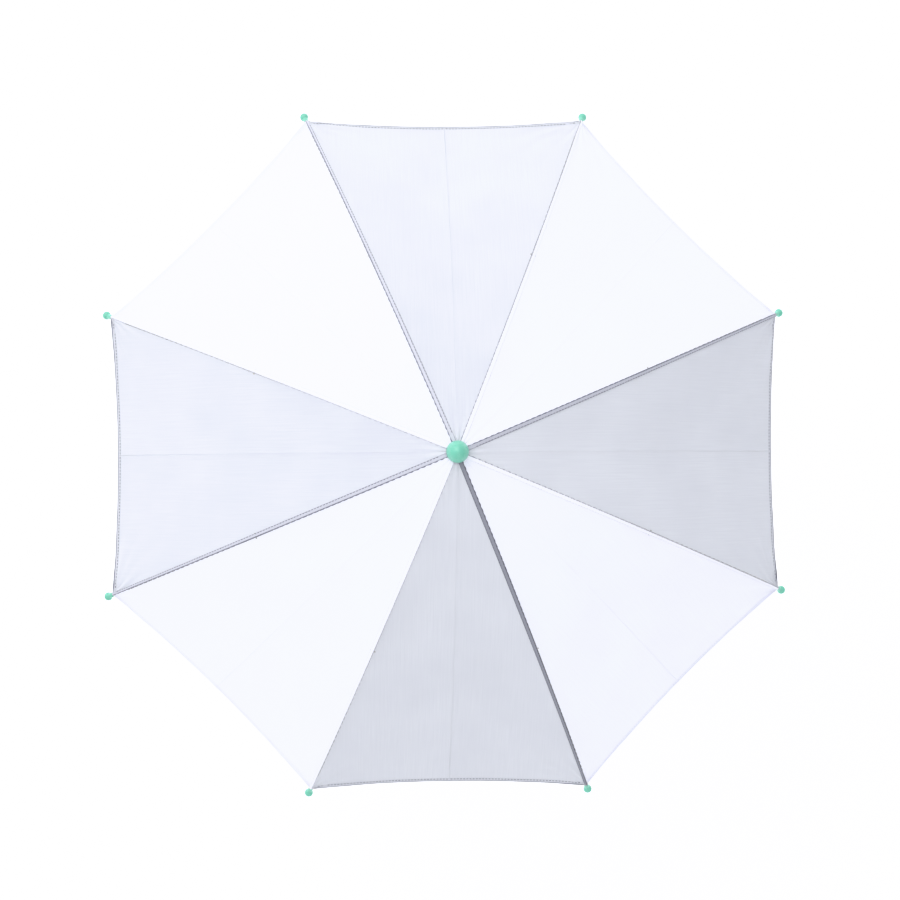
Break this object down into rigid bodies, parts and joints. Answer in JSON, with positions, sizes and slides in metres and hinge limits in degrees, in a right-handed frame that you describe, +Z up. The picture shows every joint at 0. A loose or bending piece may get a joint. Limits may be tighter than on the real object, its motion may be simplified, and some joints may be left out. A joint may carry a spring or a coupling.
{
  "type": "stick umbrella",
  "caption": "Child-size stick umbrella, open, with alternating fabric gores, ball rib tips, ball cap, folding ribs on a sliding runner, sprung catches and a hook handle.",
  "frame": {"origin": "middle of the straight grip, on the shaft axis", "axes": "+Z up along the shaft towards the cap, +X towards the open side of the hook"},
  "size_m": [0.7214, 0.7214, 0.5963],
  "materials": {
    "grey_fabric": "plain woven polyester, pale blue grey",
    "white_fabric": "plain woven polyester, white",
    "mint_plastic": "glossy moulded",
    "white_plastic": "satin moulded",
    "plated_steel": "bright zinc or nickel plate",
    "spring_steel": "plain spring steel"
  },
  "bodies": {
    "shaft": {"shaft": "plated_steel", "crown": "white_plastic", "crown_wire": "plated_steel", "crown_pin": "plated_steel", "stop_pin": "plated_steel", "rosette": "white_fabric", "top_cap": "mint_plastic", "handle_collar": "mint_plastic", "handle": "mint_plastic"},
    "rib_1": {"rib_1": "plated_steel", "rivet_1": "plated_steel", "rib_tip_1": "mint_plastic", "canopy_panel_1": "white_fabric"},
    "stretcher_1": {"stretcher_1": "plated_steel"},
    "rib_2": {"rib_2": "plated_steel", "rivet_2": "plated_steel", "rib_tip_2": "mint_plastic", "canopy_panel_2": "grey_fabric"},
    "stretcher_2": {"stretcher_2": "plated_steel"},
    "rib_3": {"rib_3": "plated_steel", "rivet_3": "plated_steel", "rib_tip_3": "mint_plastic", "canopy_panel_3": "white_fabric"},
    "stretcher_3": {"stretcher_3": "plated_steel"},
    "rib_4": {"rib_4": "plated_steel", "rivet_4": "plated_steel", "rib_tip_4": "mint_plastic", "canopy_panel_4": "grey_fabric"},
    "stretcher_4": {"stretcher_4": "plated_steel"},
    "rib_5": {"rib_5": "plated_steel", "rivet_5": "plated_steel", "rib_tip_5": "mint_plastic", "canopy_panel_5": "white_fabric"},
    "stretcher_5": {"stretcher_5": "plated_steel"},
    "rib_6": {"rib_6": "plated_steel", "rivet_6": "plated_steel", "rib_tip_6": "mint_plastic", "canopy_panel_6": "grey_fabric"},
    "stretcher_6": {"stretcher_6": "plated_steel"},
    "rib_7": {"rib_7": "plated_steel", "rivet_7": "plated_steel", "rib_tip_7": "mint_plastic", "canopy_panel_7": "white_fabric"},
    "stretcher_7": {"stretcher_7": "plated_steel"},
    "rib_8": {"rib_8": "plated_steel", "rivet_8": "plated_steel", "rib_tip_8": "mint_plastic", "canopy_panel_8": "grey_fabric"},
    "stretcher_8": {"stretcher_8": "plated_steel"},
    "runner": {"runner": "white_plastic", "runner_wire": "plated_steel"},
    "top_catch": {"top_catch": "spring_steel"},
    "bottom_catch": {"bottom_catch": "spring_steel"}
  },
  "joints": [
    {"name": "canopy_fold", "type": "hinge", "parent": "shaft", "child": "rib_1", "pos_m": [0.00739, 0.00306, 0.50699], "axis": [-0.3827, 0.9239, 0], "range_deg": [0, 61.79], "deforming": ["canopy_panel_1", "canopy_panel_2", "canopy_panel_3", "canopy_panel_4", "canopy_panel_5", "canopy_panel_6", "canopy_panel_7", "canopy_panel_8", "top_catch", "bottom_catch"]},
    {"name": "rib_2_fold", "type": "hinge", "parent": "shaft", "child": "rib_2", "pos_m": [0.00306, 0.00739, 0.50699], "axis": [-0.9239, 0.3827, 0], "range_deg": [0, 61.79]},
    {"name": "rib_3_fold", "type": "hinge", "parent": "shaft", "child": "rib_3", "pos_m": [-0.00306, 0.00739, 0.50699], "axis": [-0.9239, -0.3827, 0], "range_deg": [0, 61.79]},
    {"name": "rib_4_fold", "type": "hinge", "parent": "shaft", "child": "rib_4", "pos_m": [-0.00739, 0.00306, 0.50699], "axis": [-0.3827, -0.9239, 0], "range_deg": [0, 61.79]},
    {"name": "rib_5_fold", "type": "hinge", "parent": "shaft", "child": "rib_5", "pos_m": [-0.00739, -0.00306, 0.50699], "axis": [0.3827, -0.9239, 0], "range_deg": [0, 61.79]},
    {"name": "rib_6_fold", "type": "hinge", "parent": "shaft", "child": "rib_6", "pos_m": [-0.00306, -0.00739, 0.50699], "axis": [0.9239, -0.3827, 0], "range_deg": [0, 61.79]},
    {"name": "rib_7_fold", "type": "hinge", "parent": "shaft", "child": "rib_7", "pos_m": [0.00306, -0.00739, 0.50699], "axis": [0.9239, 0.3827, 0], "range_deg": [0, 61.79]},
    {"name": "rib_8_fold", "type": "hinge", "parent": "shaft", "child": "rib_8", "pos_m": [0.00739, -0.00306, 0.50699], "axis": [0.3827, 0.9239, 0], "range_deg": [0, 61.79]},
    {"name": "stretcher_1_pivot", "type": "hinge", "parent": "rib_1", "child": "stretcher_1", "pos_m": [0.19988, 0.08279, 0.43636], "axis": [0.3827, -0.9239, 0], "range_deg": [0, 123.58]},
    {"name": "stretcher_2_pivot", "type": "hinge", "parent": "rib_2", "child": "stretcher_2", "pos_m": [0.08279, 0.19988, 0.43636], "axis": [0.9239, -0.3827, 0], "range_deg": [0, 123.58]},
    {"name": "stretcher_3_pivot", "type": "hinge", "parent": "rib_3", "child": "stretcher_3", "pos_m": [-0.08279, 0.19988, 0.43636], "axis": [0.9239, 0.3827, 0], "range_deg": [0, 123.58]},
    {"name": "stretcher_4_pivot", "type": "hinge", "parent": "rib_4", "child": "stretcher_4", "pos_m": [-0.19988, 0.08279, 0.43636], "axis": [0.3827, 0.9239, 0], "range_deg": [0, 123.58]},
    {"name": "stretcher_5_pivot", "type": "hinge", "parent": "rib_5", "child": "stretcher_5", "pos_m": [-0.19988, -0.08279, 0.43636], "axis": [-0.3827, 0.9239, 0], "range_deg": [0, 123.58]},
    {"name": "stretcher_6_pivot", "type": "hinge", "parent": "rib_6", "child": "stretcher_6", "pos_m": [-0.08279, -0.19988, 0.43636], "axis": [-0.9239, 0.3827, 0], "range_deg": [0, 123.58]},
    {"name": "stretcher_7_pivot", "type": "hinge", "parent": "rib_7", "child": "stretcher_7", "pos_m": [0.08279, -0.19988, 0.43636], "axis": [-0.9239, -0.3827, 0], "range_deg": [0, 123.58]},
    {"name": "stretcher_8_pivot", "type": "hinge", "parent": "rib_8", "child": "stretcher_8", "pos_m": [0.19988, -0.08279, 0.43636], "axis": [-0.3827, -0.9239, 0], "range_deg": [0, 123.58]},
    {"name": "runner_pivot", "type": "hinge", "parent": "stretcher_1", "child": "runner", "pos_m": [0.00739, 0.00306, 0.36572], "axis": [-0.3827, 0.9239, 0], "range_deg": [0, 61.79]},
    {"name": "top_catch_press", "type": "slide", "parent": "shaft", "child": "top_catch", "axis": [-1, 0, 0], "range_m": [0, 0.0026], "stiffness_N_per_m": 800},
    {"name": "bottom_catch_press", "type": "slide", "parent": "shaft", "child": "bottom_catch", "axis": [-1, 0, 0], "range_m": [0, 0.0026], "stiffness_N_per_m": 800}
  ],
  "couplings": [
    {"joint": "rib_2_fold", "follows": "canopy_fold", "ratio": 1},
    {"joint": "rib_3_fold", "follows": "canopy_fold", "ratio": 1},
    {"joint": "rib_4_fold", "follows": "canopy_fold", "ratio": 1},
    {"joint": "rib_5_fold", "follows": "canopy_fold", "ratio": 1},
    {"joint": "rib_6_fold", "follows": "canopy_fold", "ratio": 1},
    {"joint": "rib_7_fold", "follows": "canopy_fold", "ratio": 1},
    {"joint": "rib_8_fold", "follows": "canopy_fold", "ratio": 1},
    {"joint": "stretcher_1_pivot", "follows": "canopy_fold", "ratio": 2},
    {"joint": "stretcher_2_pivot", "follows": "canopy_fold", "ratio": 2},
    {"joint": "stretcher_3_pivot", "follows": "canopy_fold", "ratio": 2},
    {"joint": "stretcher_4_pivot", "follows": "canopy_fold", "ratio": 2},
    {"joint": "stretcher_5_pivot", "follows": "canopy_fold", "ratio": 2},
    {"joint": "stretcher_6_pivot", "follows": "canopy_fold", "ratio": 2},
    {"joint": "stretcher_7_pivot", "follows": "canopy_fold", "ratio": 2},
    {"joint": "stretcher_8_pivot", "follows": "canopy_fold", "ratio": 2},
    {"joint": "runner_pivot", "follows": "canopy_fold", "ratio": 1}
  ]
}
